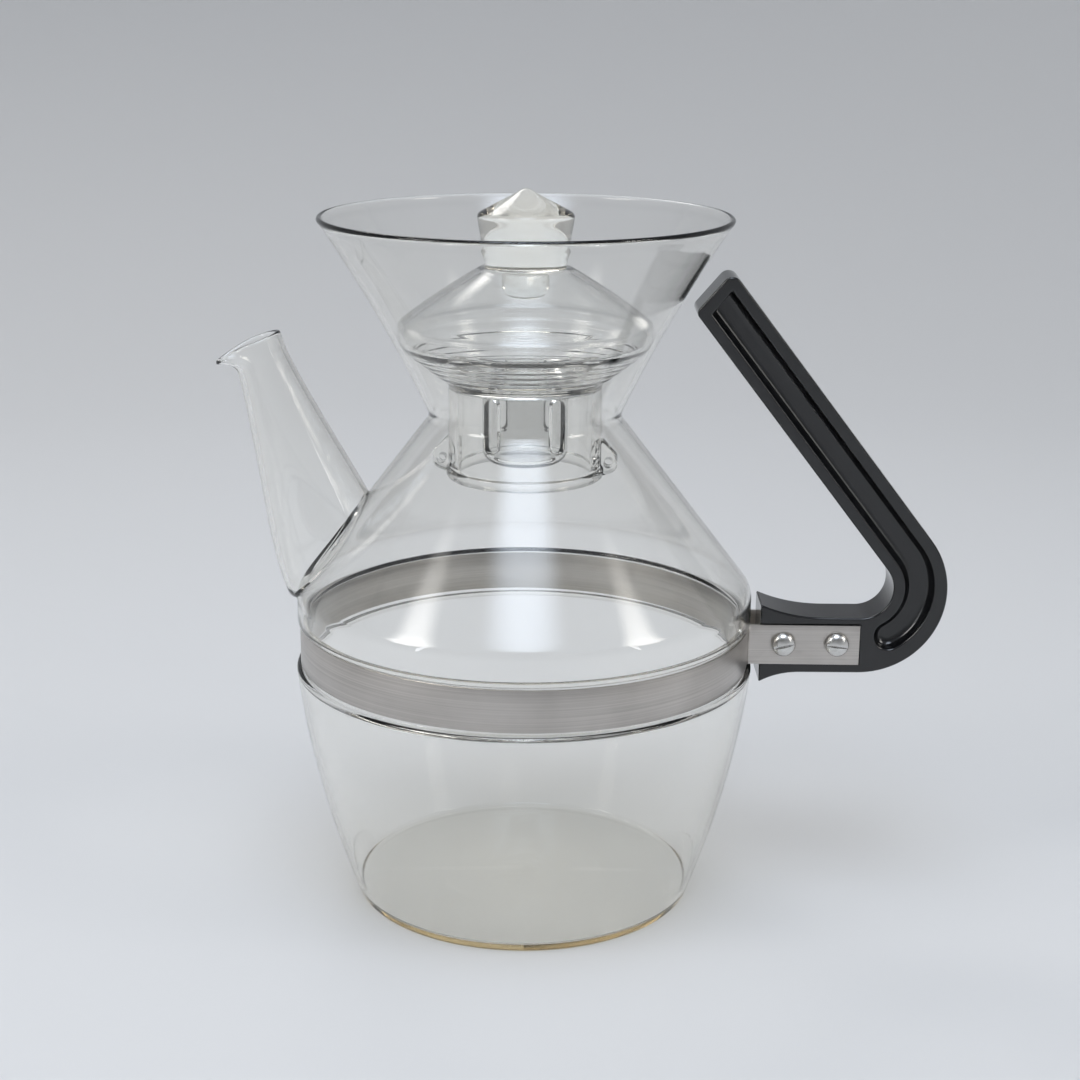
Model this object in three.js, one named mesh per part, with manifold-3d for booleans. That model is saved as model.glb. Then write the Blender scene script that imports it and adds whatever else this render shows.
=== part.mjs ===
// Glass coffee pot with a funnel top, a glass lid, a fused spout, a steel band and a bakelite handle.
// Millimetres, +Z up. The origin is the centre of the base on the table, the pot's axis is Z,
// the handle points along +X and the spout along -X.

import * as THREE from 'three';
import { mergeVertices } from 'three/addons/utils/BufferGeometryUtils.js';
import Module from 'manifold-3d';

const wasm = await Module();
wasm.setup();

// Glass walls and the gap left between pieces that touch
const wall = 1.5;
const seatGap = 0.3;

// Pot body: base, belly and the groove that the band lies in
const baseRadius = 55.5;
const baseThickness = 2.6;
const baseRise = 1.6;
const floorFlare = 1;
const heelFillet = 3.5;
const bellyRadius = 74.7;
const bellyTopSlope = 0.12;
const ledgeHeight = 79.1;
const ledgeFillet = 1.1;
const grooveDepth = 2.7;
const bandHeight = 14.6;

// Pot body: shoulder, cone, neck and funnel
const beltRadius = 73.9;
const beltHeight = 9.9;
const shoulderFillet = 7;
const coneAngle = 37.6;
const neckRadius = 30.3;
const neckFillet = 6;
const funnelHeight = 61.4;
const funnelRadius = 64.8;
const funnelStartAngle = 24.5;
const rimCrown = 0.7;

// Spout: a tapered tube whose axis leaves the cone at spoutHeight
const spoutHeight = 119.4;
const spoutLean = 19.1;
const spoutLength = 68;
const spoutRootRadius = 17.8;
const spoutMouthRadius = 8.5;
const spoutStraightShare = 0.1;
const spoutTaperShare = 0.55;
const spoutTaperFullness = 0.25;
const spoutRootDrop = 15;
const spoutHeelFillet = 6;
const spoutWall = 1.5;
const spoutOpeningRadius = 12;
const mouthTilt = 6;
const lipReach = 8;
const lipLength = 7;
const lipSharpness = 3;

// Steel band and its ears
const bandThickness = 0.9;
const earReach = 33;
const earBend = 1.6;
const earProud = 0.1;

// Handle: a straight grip, a bend and a foot between the ears
const handleThickness = 16.4;
const handleWidth = 17.7;
const handleEdge = 1;
const handleGap = 2;
const gripAngle = 37.66;
const gripLength = 107.6;
const gripEndSlant = 13;
const gripHeelFillet = 2;
const gripTipFillet = 3;
const bendReach = 32.6;
const bendRadius = 18.85;
const footFlare = 4.4;
const flareTopLength = 22;
const flareUnderLength = 13.2;
const flareEase = 0.45;
const sunkWidth = 10;
const sunkDepth = 4;
const sunkEndInset = 7;
const sunkEndFillet = 1;
const sunkSweep = 112;

// Screws and nuts, both pairs alike
const screwRadius = 2;
const screwChamfer = 0.5;
const screwHeadRadius = 3.9;
const screwHeadHeight = 2.7;
const screwSlotWidth = 1;
const screwSlotDepth = 1.2;
const screwHeadEdge = 0.5;
const innerScrewInset = 7.7;
const screwSpacing = 17.4;
const nutAcrossFlats = 7;
const nutThickness = 3.2;
const screwEnd = 1;

// Lid: dome, knob, plug and cup
const domeRadius = 40.6;
const domeTopAngle = 34;
const domeUnderAngle = 38;
const domeTopBulge = 2.1;
const domeEdgeHeight = 6;
const domeEdgeFillet = 4;
const domeWall = 2.2;
const shelfMargin = 0.5;
const shelfFillet = 1.5;
const knobFootRadius = 12.8;
const knobRadius = 15.4;
const knobHeight = 14.4;
const knobCrown = 6.8;
const knobFillet = 1.8;
const crownFillet = 2;
const nippleFootRadius = 3.2;
const nippleRadius = 1.6;
const nippleHeight = 1.2;
const stemRadius = 8.4;
const tailLength = 15;
const tailRound = 0.9;
const plugRadius = 24.5;
const plugWall = 3;
const plugLength = 31.4;
const plugBead = 0.6;
const beadHeight = 3.6;
const beadFillet = 1.5;
const skirtFillet = 1.2;
const slotWidth = 4.4;
const slotLength = 18;
const slotTop = 1.6;
const slotAngle = 25;
const cupRadius = 13.6;
const cupWall = 1.8;
const cupLength = 26.6;
const cupFillet = 4.5;

// Lugs: two pierced ears that just pass the bore of the neck
const lugClearance = 0.4;
const lugAzimuth = -6;
const lugThickness = 3.2;
const lugTopRise = 12.6;
const lugTipRise = 5.2;
const lugBottomRise = 1.2;
const lugTipHeight = 3;
const lugFootReach = 1;
const lugFillet = 1.2;
const lugHoleRadius = 1.1;

// How finely round shapes are cut into flat facets
const potFacets = 48;
const lidFacets = 36;
const spoutFacets = 24;
const holeFacets = 16;
const curveSteps = 4;
const spoutSteps = 6;
const lipRings = 5;
const earSteps = 3;
const bendStep = 13;
const sunkEndSteps = 7;
const slotEndSteps = 6;
const headSteps = 5;
const arcStep = 32;

// How far a cutting shape runs past the face that it cuts
const cutOverrun = 2;

const degrees = Math.PI / 180;

// A closed geometry as a solid, with shared corners merged and collapsed triangles dropped
function solidOf(geometry) {
  const bare = new THREE.BufferGeometry();
  bare.setAttribute('position', geometry.getAttribute('position').clone());
  if (geometry.index) bare.setIndex(geometry.index.clone());
  const merged = mergeVertices(bare, 1e-4);
  const corners = merged.index.array;
  const kept = [];
  for (let i = 0; i < corners.length; i += 3) {
    const [a, b, c] = [corners[i], corners[i + 1], corners[i + 2]];
    if (a !== b && b !== c && c !== a) kept.push(a, b, c);
  }
  const vertProperties = new Float32Array(merged.getAttribute('position').array);
  const triVerts = new Uint32Array(kept);
  return new wasm.Manifold(new wasm.Mesh({ numProp: 3, vertProperties, triVerts }));
}

// A solid back as a geometry that can be drawn
function geometryOf(solid) {
  const mesh = solid.getMesh();
  const geometry = new THREE.BufferGeometry();
  geometry.setAttribute('position', new THREE.BufferAttribute(new Float32Array(mesh.vertProperties), 3));
  geometry.setIndex(new THREE.BufferAttribute(new Uint32Array(mesh.triVerts), 1));
  geometry.computeVertexNormals();
  return geometry;
}

// Points of an arc round (x, y), both ends included, angles in radians
function arcPoints(x, y, radius, from, to, steps) {
  const points = [];
  for (let i = 0; i <= steps; i += 1) {
    const angle = from + ((to - from) * i) / steps;
    points.push(new THREE.Vector2(x + radius * Math.cos(angle), y + radius * Math.sin(angle)));
  }
  return points;
}

// A run of corners {x, y, fillet} with each fillet drawn as an arc
function roundedPath(corners, closed = false) {
  const points = [];
  const count = corners.length;
  for (let i = 0; i < count; i += 1) {
    const corner = corners[i];
    const here = new THREE.Vector2(corner.x, corner.y);
    const isEnd = !closed && (i === 0 || i === count - 1);
    if (isEnd || !corner.fillet) {
      points.push(here);
      continue;
    }
    const before = corners[(i + count - 1) % count];
    const after = corners[(i + 1) % count];
    const back = new THREE.Vector2(before.x, before.y).sub(here);
    const ahead = new THREE.Vector2(after.x, after.y).sub(here);
    const room = Math.min(back.length(), ahead.length()) * 0.48;
    back.normalize();
    ahead.normalize();
    const half = Math.acos(THREE.MathUtils.clamp(back.dot(ahead), -1, 1)) / 2;
    const setBack = Math.min(corner.fillet / Math.tan(half), room);
    const radius = setBack * Math.tan(half);
    const towards = back.clone().add(ahead).normalize();
    const centre = here.clone().addScaledVector(towards, radius / Math.sin(half));
    const first = here.clone().addScaledVector(back, setBack).sub(centre);
    const last = here.clone().addScaledVector(ahead, setBack).sub(centre);
    const turn = Math.atan2(first.cross(last), first.dot(last));
    const steps = Math.max(2, Math.ceil(Math.abs(turn) / (arcStep * degrees)));
    points.push(...arcPoints(centre.x, centre.y, radius, first.angle(), first.angle() + turn, steps));
  }
  return points;
}

// The same run of corners moved to its left by a distance, with fillets that stay concentric
function offsetCorners(corners, distance) {
  return corners.map((corner, i) => {
    const here = new THREE.Vector2(corner.x, corner.y);
    const before = corners[Math.max(i - 1, 0)];
    const after = corners[Math.min(i + 1, corners.length - 1)];
    const arriving = here.clone().sub(new THREE.Vector2(before.x, before.y));
    const leaving = new THREE.Vector2(after.x, after.y).sub(here);
    if (i === 0) arriving.copy(leaving);
    if (i === corners.length - 1) leaving.copy(arriving);
    arriving.normalize();
    leaving.normalize();
    const normal = new THREE.Vector2(-arriving.y - leaving.y, arriving.x + leaving.x).normalize();
    const stretch = distance / (normal.x * -arriving.y + normal.y * arriving.x);
    const bulges = arriving.cross(leaving) > 0;
    const fillet = corner.fillet ? Math.max(corner.fillet + (bulges ? -distance : distance), 0.6) : 0;
    return { x: here.x + normal.x * stretch, y: here.y + normal.y * stretch, fillet };
  });
}

// A profile of (radius, height) points turned round the Z axis
function turned(points, facets) {
  const geometry = new THREE.LatheGeometry(points, facets);
  geometry.rotateX(Math.PI / 2);
  return solidOf(geometry);
}

// A closed ring profile turned round the Z axis
function turnedRing(points, facets) {
  return turned([...points, points[0].clone()], facets);
}

// A flat outline in X and Y raised along Z from a given height
function raised(points, height, from) {
  const options = { depth: height, bevelEnabled: false, curveSegments: 1 };
  const geometry = new THREE.ExtrudeGeometry(new THREE.Shape(points), options);
  geometry.translate(0, 0, from);
  return solidOf(geometry);
}

// A round bar along Y, centred at (x, z)
function barAlongY(radius, length, x, z, y = 0) {
  const geometry = new THREE.CylinderGeometry(radius, radius, length, holeFacets);
  geometry.translate(x, y, z);
  return solidOf(geometry);
}

function block(sizeX, sizeY, sizeZ, x, y, z) {
  const geometry = new THREE.BoxGeometry(sizeX, sizeY, sizeZ);
  geometry.translate(x, y, z);
  return solidOf(geometry);
}

// Materials
const clearGlass = { color: 0xe9eef0, roughness: 0.04, metalness: 0, transparent: true, opacity: 0.35 };
const potGlass = new THREE.MeshStandardMaterial(clearGlass);
const lidGlass = new THREE.MeshStandardMaterial(clearGlass);
const bandSteel = new THREE.MeshStandardMaterial({ color: 0xa9a39b, roughness: 0.38, metalness: 1 });
const screwSteel = new THREE.MeshStandardMaterial({ color: 0xc9c9c7, roughness: 0.2, metalness: 1 });
const bakelite = new THREE.MeshStandardMaterial({ color: 0x0b0b0c, roughness: 0.18, metalness: 0 });

// Heights and radii that follow from the driving sizes
const grooveRadius = bellyRadius - grooveDepth;
const grooveTop = ledgeHeight + bandHeight + 2 * seatGap;
const shoulderHeight = grooveTop + beltHeight;
const coneSlope = Math.tan(coneAngle * degrees);
const neckHeight = shoulderHeight + (beltRadius - neckRadius) / coneSlope;
const rimHeight = neckHeight + funnelHeight;

// Outer run of the wall from the heel to the rim
function bellyCorners() {
  const bottom = new THREE.Vector2(baseRadius, 0);
  const top = new THREE.Vector2(bellyRadius, ledgeHeight - ledgeFillet * 1.5);
  const middle = new THREE.Vector2(bellyRadius - (top.y / 2) * bellyTopSlope, top.y / 2);
  const curve = new THREE.QuadraticBezierCurve(bottom, middle, top);
  return curve.getPoints(curveSteps).slice(1, -1).map((point) => ({ x: point.x, y: point.y, fillet: 0 }));
}

function funnelCorners() {
  const start = new THREE.Vector2(neckRadius, neckHeight);
  const end = new THREE.Vector2(funnelRadius, rimHeight);
  const reach = (funnelHeight / 2) * Math.tan(funnelStartAngle * degrees);
  const middle = new THREE.Vector2(neckRadius + reach, neckHeight + funnelHeight / 2);
  const curve = new THREE.QuadraticBezierCurve(start, middle, end);
  return curve.getPoints(curveSteps).slice(1).map((point) => ({ x: point.x, y: point.y, fillet: 0 }));
}

const outerWall = [
  { x: baseRadius, y: 0, fillet: heelFillet },
  ...bellyCorners(),
  { x: bellyRadius, y: ledgeHeight, fillet: ledgeFillet },
  { x: grooveRadius, y: ledgeHeight, fillet: 0 },
  { x: grooveRadius, y: grooveTop, fillet: 0 },
  { x: beltRadius, y: grooveTop, fillet: ledgeFillet },
  { x: beltRadius, y: shoulderHeight, fillet: shoulderFillet },
  { x: neckRadius, y: neckHeight, fillet: neckFillet },
  ...funnelCorners(),
];
const innerWall = offsetCorners(outerWall, wall);

// The funnel's inner face as points, from the neck up to the rim
const funnelInside = roundedPath(innerWall).filter((point) => point.y > neckHeight - neckFillet);
const neckBore = Math.min(...funnelInside.map((point) => point.x));

// Outline of the pot as one filled body, moved outwards by a distance
function potEnvelope(distance) {
  const outline = roundedPath(offsetCorners(outerWall, -distance));
  const lowest = new THREE.Vector2(0, outline[0].y);
  const highest = new THREE.Vector2(0, outline[outline.length - 1].y);
  return turned([lowest, ...outline, highest], potFacets);
}

// The spout's own frame: origin where its axis leaves the cone, Z along the tube
const spoutRoot = new THREE.Vector3(-(beltRadius - (spoutHeight - shoulderHeight) * coneSlope), 0, spoutHeight);
const spoutFrame = new THREE.Matrix4().makeRotationY(-spoutLean * degrees);
spoutFrame.setPosition(spoutRoot);

function makePotBody() {
  const outside = roundedPath([{ x: 0, y: 0 }, ...outerWall]);
  const insideRun = innerWall.slice(1).reverse();
  const inside = roundedPath([
    ...insideRun,
    { x: baseRadius - wall + floorFlare, y: baseThickness, fillet: heelFillet },
    { x: baseRadius / 2, y: baseThickness + baseRise / 2, fillet: 0 },
    { x: 0, y: baseThickness + baseRise, fillet: 0 },
  ]);
  const rimOut = outside[outside.length - 1];
  const rimIn = inside[0];
  const rimCrest = rimOut.clone().add(rimIn).multiplyScalar(0.5).add(new THREE.Vector2(0, rimCrown));
  const body = turned([...outside, rimCrest, ...inside], potFacets);

  const opening = new THREE.CylinderGeometry(spoutOpeningRadius, spoutOpeningRadius, spoutRootRadius * 2, holeFacets);
  opening.rotateX(Math.PI / 2);
  opening.applyMatrix4(spoutFrame);
  return body.subtract(solidOf(opening));
}

// The spout's wall as radius against distance along the tube, moved inwards for the bore
function spoutProfile(inset) {
  const lipStart = spoutLength - lipLength;
  const taper = new THREE.CubicBezierCurve(
    new THREE.Vector2(spoutRootRadius, -spoutRootDrop / 2),
    new THREE.Vector2(spoutRootRadius, spoutLength * spoutStraightShare),
    new THREE.Vector2(
      THREE.MathUtils.lerp(spoutMouthRadius, spoutRootRadius, spoutTaperFullness),
      spoutLength * spoutTaperShare,
    ),
    new THREE.Vector2(spoutMouthRadius, lipStart),
  );
  const floor = -spoutRootDrop + inset;
  const rounded = roundedPath([
    { x: 0, y: floor },
    { x: spoutRootRadius - inset, y: floor, fillet: spoutHeelFillet },
    { x: spoutRootRadius - inset, y: -spoutRootDrop / 2 },
  ]);
  rounded.pop();
  const side = taper.getPoints(spoutSteps).map((point) => new THREE.Vector2(point.x - inset, point.y));
  for (let i = 1; i <= lipRings; i += 1) {
    side.push(new THREE.Vector2(spoutMouthRadius - inset, lipStart + ((lipLength + cutOverrun) * i) / lipRings));
  }
  const top = side[side.length - 1].y + inset;
  side[side.length - 1].y = top;
  return [...rounded, ...side, new THREE.Vector2(0, top)];
}

// A turned spout shape with the front edge of its mouth drawn out into a lip
function spoutShape(inset) {
  const geometry = new THREE.LatheGeometry(spoutProfile(inset), spoutFacets);
  geometry.rotateX(Math.PI / 2);
  const position = geometry.getAttribute('position');
  for (let i = 0; i < position.count; i += 1) {
    const point = new THREE.Vector3().fromBufferAttribute(position, i);
    const mouth = spoutLength + point.x * Math.tan(mouthTilt * degrees);
    const rise = Math.max(0, 1 - (mouth - point.z) / lipLength);
    const radius = Math.hypot(point.x, point.y);
    const facing = radius > 0 ? Math.max(0, -point.x / radius) : 0;
    position.setX(i, point.x - lipReach * rise ** 2 * facing ** lipSharpness);
  }
  geometry.applyMatrix4(spoutFrame);
  return solidOf(geometry);
}

function makeSpout() {
  const tube = spoutShape(0).subtract(spoutShape(spoutWall));
  const above = new THREE.BoxGeometry(spoutLength, spoutLength, spoutLength);
  above.translate(0, 0, spoutLength / 2);
  above.rotateY(-mouthTilt * degrees);
  above.translate(0, 0, spoutLength);
  above.applyMatrix4(spoutFrame);
  return tube.subtract(solidOf(above)).subtract(potEnvelope(seatGap));
}

// Band: the strip's plan, a loop whose ends bend out into two parallel ears
const bandInner = grooveRadius + seatGap;
const bandOuter = bandInner + bandThickness;
const bandBottom = ledgeHeight + seatGap;
const bandMiddle = bandBottom + bandHeight / 2;
const earOuter = handleThickness / 2 + earProud;
const earInner = earOuter - bandThickness;
const handleStart = Math.max(beltRadius, bellyRadius) + handleGap;
const earEnd = handleStart + earReach;
const innerScrewX = handleStart + innerScrewInset;
const screwPlaces = [innerScrewX, innerScrewX + screwSpacing];

function makeBand() {
  const bendY = earOuter + earBend;
  const bendX = Math.sqrt((bandOuter + earBend) ** 2 - bendY ** 2);
  const lean = Math.atan2(bendY, bendX);
  const half = Math.PI / 2;
  const outline = [
    new THREE.Vector2(earEnd, earOuter),
    ...arcPoints(bendX, bendY, earBend, -half, -Math.PI + lean, earSteps),
    ...arcPoints(0, 0, bandOuter, lean, 2 * Math.PI - lean, potFacets).slice(1, -1),
    ...arcPoints(bendX, -bendY, earBend, Math.PI - lean, half, earSteps),
    new THREE.Vector2(earEnd, -earOuter),
    new THREE.Vector2(earEnd, -earInner),
    ...arcPoints(bendX, -bendY, earBend + bandThickness, half, Math.PI - lean, earSteps),
    ...arcPoints(0, 0, bandInner, 2 * Math.PI - lean, lean, potFacets).slice(1, -1),
    ...arcPoints(bendX, bendY, earBend + bandThickness, -Math.PI + lean, -half, earSteps),
    new THREE.Vector2(earEnd, earInner),
  ];
  let strip = raised(outline, bandHeight, bandBottom);
  for (const x of screwPlaces) {
    strip = strip.subtract(barAlongY(screwRadius + seatGap, handleThickness * 2, x, bandMiddle));
  }
  return strip;
}

// Handle: laid out in X and Z, with the bend's centre as its anchor
const bendCentre = new THREE.Vector2(handleStart + bendReach, bandMiddle + bendRadius);
const gripAlong = new THREE.Vector2(Math.sin(gripAngle * degrees), -Math.cos(gripAngle * degrees));
const gripAcross = new THREE.Vector2(Math.cos(gripAngle * degrees), Math.sin(gripAngle * degrees));
const gripTurn = gripAngle * degrees;

function gripPoint(distance, offset) {
  return bendCentre.clone().addScaledVector(gripAcross, bendRadius + offset).addScaledVector(gripAlong, -distance);
}

// An arc of the bend, or of the sunk panel in it
function bendArc(radius, from, to) {
  const steps = Math.ceil(Math.abs(to - from) / (bendStep * degrees));
  return arcPoints(bendCentre.x, bendCentre.y, radius, from, to, steps);
}

function handleOutline() {
  const half = handleWidth / 2;
  const slant = Math.tan(gripEndSlant * degrees) * half;
  const tip = roundedPath([
    { x: gripPoint(0, -half).x, y: gripPoint(0, -half).y },
    { ...gripPoint(gripLength - slant, -half), fillet: gripHeelFillet },
    { ...gripPoint(gripLength + slant, half), fillet: gripTipFillet },
    { x: gripPoint(0, half).x, y: gripPoint(0, half).y },
  ]);
  const footTop = bandMiddle + half;
  const footBottom = bandMiddle - half;
  const under = new THREE.QuadraticBezierCurve(
    new THREE.Vector2(handleStart + flareUnderLength, footBottom),
    new THREE.Vector2(handleStart + flareUnderLength * flareEase, footBottom),
    new THREE.Vector2(handleStart, footBottom - footFlare),
  );
  const over = new THREE.QuadraticBezierCurve(
    new THREE.Vector2(handleStart, footTop + footFlare),
    new THREE.Vector2(handleStart + flareTopLength * flareEase, footTop),
    new THREE.Vector2(handleStart + flareTopLength, footTop),
  );
  return [
    ...tip.slice(1, -1),
    ...bendArc(bendRadius + half, gripTurn, -Math.PI / 2),
    ...under.getPoints(curveSteps),
    ...over.getPoints(curveSteps),
    ...bendArc(bendRadius - half, -Math.PI / 2, gripTurn),
  ];
}

// The long sunk panel in each side follows the grip and the bend, cut square at the tip and round at the foot
function sunkOutline() {
  const half = sunkWidth / 2;
  const slant = Math.tan(gripEndSlant * degrees) * half;
  const stop = gripTurn - sunkSweep * degrees;
  const end = new THREE.Vector2(Math.cos(stop), Math.sin(stop)).multiplyScalar(bendRadius).add(bendCentre);
  const tip = roundedPath([
    { x: gripPoint(0, -half).x, y: gripPoint(0, -half).y },
    { ...gripPoint(gripLength - sunkEndInset - slant, -half), fillet: sunkEndFillet },
    { ...gripPoint(gripLength - sunkEndInset + slant, half), fillet: sunkEndFillet },
    { x: gripPoint(0, half).x, y: gripPoint(0, half).y },
  ]);
  return [
    ...tip.slice(1, -1),
    ...bendArc(bendRadius + half, gripTurn, stop),
    ...arcPoints(end.x, end.y, half, stop, stop - Math.PI, sunkEndSteps).slice(1, -1),
    ...bendArc(bendRadius - half, stop, gripTurn),
  ];
}

// An outline in X and Z given a thickness along Y, from one face to the other
function slab(points, fromY, toY, options = {}) {
  const shape = new THREE.Shape(points);
  const geometry = new THREE.ExtrudeGeometry(shape, {
    depth: toY - fromY, bevelEnabled: false, curveSegments: 1, ...options,
  });
  geometry.rotateX(Math.PI / 2);
  geometry.translate(0, toY, 0);
  return solidOf(geometry);
}

function makeHandle() {
  const half = handleThickness / 2;
  const edge = {
    bevelEnabled: true,
    bevelThickness: handleEdge,
    bevelSize: handleEdge,
    bevelOffset: -handleEdge,
    bevelSegments: 2,
  };
  let handle = slab(handleOutline(), -half + handleEdge, half - handleEdge, edge);
  const sunk = sunkOutline();
  handle = handle.subtract(slab(sunk, half - sunkDepth, half + cutOverrun));
  handle = handle.subtract(slab(sunk, -half - cutOverrun, -half + sunkDepth));

  const recess = earInner - seatGap;
  const recessLength = earReach + seatGap + cutOverrun;
  const recessX = earEnd + seatGap - recessLength / 2;
  for (const side of [-1, 1]) {
    const bed = block(recessLength, half, bandHeight + 2 * seatGap, recessX, side * (recess + half / 2), bandMiddle);
    handle = handle.subtract(bed);
  }
  for (const x of screwPlaces) {
    handle = handle.subtract(barAlongY(screwRadius + seatGap, handleThickness * 2, x, bandMiddle));
  }
  return handle;
}

// Screw: head against the near ear, shank through both ears and the nut on the far one
const headSeat = earOuter + seatGap;
const shankLength = 2 * earOuter + 3 * seatGap + nutThickness + screwEnd;

function makeScrew(x) {
  const profile = [
    new THREE.Vector2(0, 0),
    new THREE.Vector2(screwRadius - screwChamfer, 0),
    new THREE.Vector2(screwRadius, screwChamfer),
    new THREE.Vector2(screwRadius, shankLength),
    new THREE.Vector2(screwHeadRadius, shankLength),
    ...arcPoints(0, 0, 1, 0, Math.PI / 2, headSteps).map((point) => new THREE.Vector2(
      point.x * screwHeadRadius,
      shankLength + screwHeadEdge + point.y * (screwHeadHeight - screwHeadEdge),
    )),
  ];
  profile[profile.length - 1].x = 0;
  const turnedScrew = turned(profile, holeFacets);
  const top = shankLength + screwHeadHeight;
  const slot = block(screwHeadRadius * 3, screwSlotWidth, screwSlotDepth * 2, 0, 0, top);
  const geometry = geometryOf(turnedScrew.subtract(slot));
  geometry.rotateX(Math.PI / 2);
  geometry.translate(x, shankLength - headSeat, bandMiddle);
  return solidOf(geometry);
}

function makeNut(x) {
  const corner = nutAcrossFlats / Math.sqrt(3);
  const hexagon = arcPoints(x, bandMiddle, corner, Math.PI / 6, Math.PI / 6 + 2 * Math.PI, 6).slice(0, -1);
  const near = earOuter + seatGap;
  const nut = slab(hexagon, near, near + nutThickness);
  return nut.subtract(barAlongY(screwRadius + seatGap, nutThickness * 3, x, bandMiddle, near + nutThickness / 2));
}

// Lid, in its own frame: height 0 is the bottom of the upright edge of the dome
const topSlope = Math.tan(domeTopAngle * degrees);
const underSlope = Math.tan(domeUnderAngle * degrees);
const shelfHeight = -(domeRadius - plugRadius - shelfMargin) * underSlope;
const holeRadius = stemRadius + seatGap;
const crownHeight = domeEdgeHeight + (domeRadius - holeRadius) * topSlope;

// The dome's top swells a little between the edge and the hole for the knob's stem
const domeTop = new THREE.QuadraticBezierCurve(
  new THREE.Vector2(domeRadius, domeEdgeHeight),
  new THREE.Vector2((domeRadius + holeRadius) / 2, (domeEdgeHeight + crownHeight) / 2 + domeTopBulge),
  new THREE.Vector2(holeRadius, crownHeight),
);

// Height of the dome's outer face at a radius
function domeTopAt(radius) {
  return domeTop.getPoint((domeRadius - radius) / (domeRadius - holeRadius)).y;
}

function domeOuter() {
  return [
    { x: cupRadius - cupWall, y: shelfHeight },
    { x: plugRadius + shelfMargin, y: shelfHeight, fillet: shelfFillet },
    { x: domeRadius, y: 0, fillet: domeEdgeFillet },
    { x: domeRadius, y: domeEdgeHeight, fillet: domeEdgeFillet },
    ...domeTop.getPoints(curveSteps).slice(1).map((point) => ({ x: point.x, y: point.y, fillet: 0 })),
  ];
}

function makeDome() {
  const outer = domeOuter();
  const inner = offsetCorners(outer, domeWall).reverse();
  inner[0] = { x: holeRadius, y: crownHeight - domeWall / Math.cos(domeTopAngle * degrees) };
  return turnedRing([...roundedPath(outer), ...roundedPath(inner)], lidFacets);
}

function makeKnob() {
  const foot = domeTopAt(knobFootRadius) + seatGap;
  const seat = crownHeight + seatGap;
  const top = foot + knobHeight;
  const tailBottom = crownHeight - tailLength;
  const profile = roundedPath([
    { x: 0, y: tailBottom },
    { x: stemRadius, y: tailBottom, fillet: stemRadius * tailRound },
    { x: stemRadius, y: seat },
    { x: knobFootRadius, y: foot },
    { x: knobRadius, y: top, fillet: knobFillet },
    { x: nippleFootRadius, y: top + knobCrown, fillet: crownFillet },
    { x: nippleRadius, y: top + knobCrown + nippleHeight / 2 },
    { x: 0, y: top + knobCrown + nippleHeight },
  ]);
  return turned(profile, lidFacets);
}

const plugTop = shelfHeight - seatGap;
const plugBottom = plugTop - plugLength;
const lugTip = neckBore - lugClearance;

function makePlug() {
  const inside = plugRadius - plugWall;
  let plug = turnedRing(roundedPath([
    { x: inside, y: plugBottom, fillet: skirtFillet },
    { x: plugRadius + plugBead, y: plugBottom, fillet: beadFillet },
    { x: plugRadius, y: plugBottom + beadHeight },
    { x: plugRadius, y: plugTop },
    { x: inside, y: plugTop },
  ], true), lidFacets);

  for (const angle of [-slotAngle, slotAngle, 180 - slotAngle, 180 + slotAngle]) {
    const half = slotWidth / 2;
    const high = plugTop - slotTop - half;
    const low = plugTop - slotTop - slotLength + half;
    const outline = [
      ...arcPoints(0, high, half, 0, Math.PI, slotEndSteps),
      ...arcPoints(0, low, half, Math.PI, 2 * Math.PI, slotEndSteps),
    ];
    const geometry = geometryOf(slab(outline, inside - cutOverrun, plugRadius + cutOverrun));
    geometry.rotateZ(Math.PI + angle * degrees);
    plug = plug.subtract(solidOf(geometry));
  }

  for (const angle of [lugAzimuth, lugAzimuth + 180]) {
    const root = plugRadius - plugWall / 2;
    const outline = roundedPath([
      { x: root, y: plugBottom + lugTopRise },
      { x: root, y: plugBottom + lugBottomRise },
      { x: plugRadius + lugFootReach, y: plugBottom + lugBottomRise, fillet: lugFillet },
      { x: lugTip, y: plugBottom + lugTipRise - lugTipHeight / 2, fillet: lugFillet },
      { x: lugTip, y: plugBottom + lugTipRise + lugTipHeight / 2, fillet: lugFillet },
      { x: plugRadius, y: plugBottom + lugTopRise },
    ], true);
    const ear = slab(outline, -lugThickness / 2, lugThickness / 2);
    const hole = barAlongY(lugHoleRadius, lugThickness * 2, (plugRadius + lugTip) / 2, plugBottom + lugTipRise);
    const geometry = geometryOf(ear.subtract(hole));
    geometry.rotateZ(angle * degrees);
    plug = plug.add(solidOf(geometry));
  }
  return plug;
}

function makeCup() {
  const bottom = plugTop - cupLength;
  const inside = cupRadius - cupWall;
  const profile = [
    ...roundedPath([
      { x: 0, y: bottom },
      { x: cupRadius, y: bottom, fillet: cupFillet },
      { x: cupRadius, y: plugTop },
    ]),
    ...roundedPath([
      { x: inside, y: plugTop },
      { x: inside, y: bottom + cupWall, fillet: cupFillet - cupWall },
      { x: 0, y: bottom + cupWall },
    ]),
  ];
  return turned(profile, lidFacets);
}

// Distance from a point to the funnel's inner face, negative outside it
function roomInFunnel(point) {
  let nearest = Infinity;
  let side = 1;
  for (let i = 1; i < funnelInside.length; i += 1) {
    const along = funnelInside[i].clone().sub(funnelInside[i - 1]);
    const away = point.clone().sub(funnelInside[i - 1]);
    const share = THREE.MathUtils.clamp(away.dot(along) / along.lengthSq(), 0, 1);
    const distance = away.clone().addScaledVector(along, -share).length();
    if (distance < nearest) {
      nearest = distance;
      side = Math.sign(along.cross(away));
    }
  }
  return side * nearest;
}

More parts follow.
